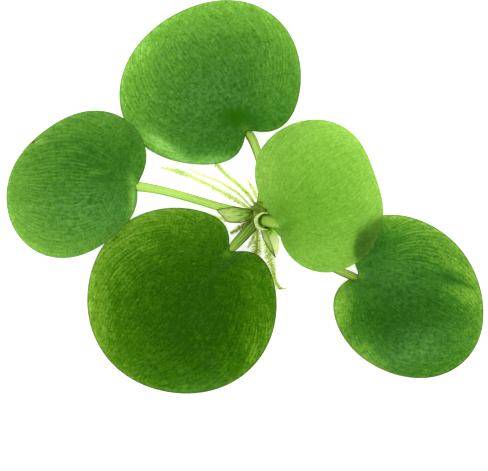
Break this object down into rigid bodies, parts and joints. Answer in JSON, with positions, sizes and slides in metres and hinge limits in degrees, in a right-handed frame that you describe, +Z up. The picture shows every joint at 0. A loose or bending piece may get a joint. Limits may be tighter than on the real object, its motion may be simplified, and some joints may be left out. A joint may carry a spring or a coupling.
{
  "type": "amazon frogbit plant",
  "caption": "Small floating water plant, picked and laid flat: round notched leaves on stalks, thin sheaths and hairy roots round one short crown.",
  "frame": {"origin": "centre of the crown's flat underside, on the surface that the plant lies on", "axes": "+X to the right and +Y to the back of the plant as seen from above, +Z up off the surface"},
  "size_m": [0.0764, 0.0631, 0.0084],
  "materials": {
    "leaf": "waxy leaf, satin",
    "young_leaf": "thin waxy leaf, satin",
    "stalk": "smooth green stalk, satin",
    "sheath": "thin papery membrane, satin",
    "root": "pale hairy root, matte",
    "crown": "fibrous stem, matte"
  },
  "bodies": {
    "root": {"crown": "crown", "leaf_front": "leaf", "leaf_back": "leaf", "leaf_left": "leaf", "leaf_right": "leaf", "leaf_young": "young_leaf", "petiole_front": "stalk", "petiole_back": "stalk", "petiole_left": "stalk", "petiole_right": "stalk", "petiole_young": "stalk", "sheath_left": "sheath", "sheath_young": "sheath", "sheath_right": "sheath", "sheath_front": "sheath", "bract_front": "sheath", "bract_back": "sheath", "root_long": "root", "root_thin": "root", "root_back": "root", "root_back_short": "root", "root_front_short": "root", "root_front_long": "root", "root_left_dark": "root", "root_left_pale": "root"}
  },
  "joints": []
}
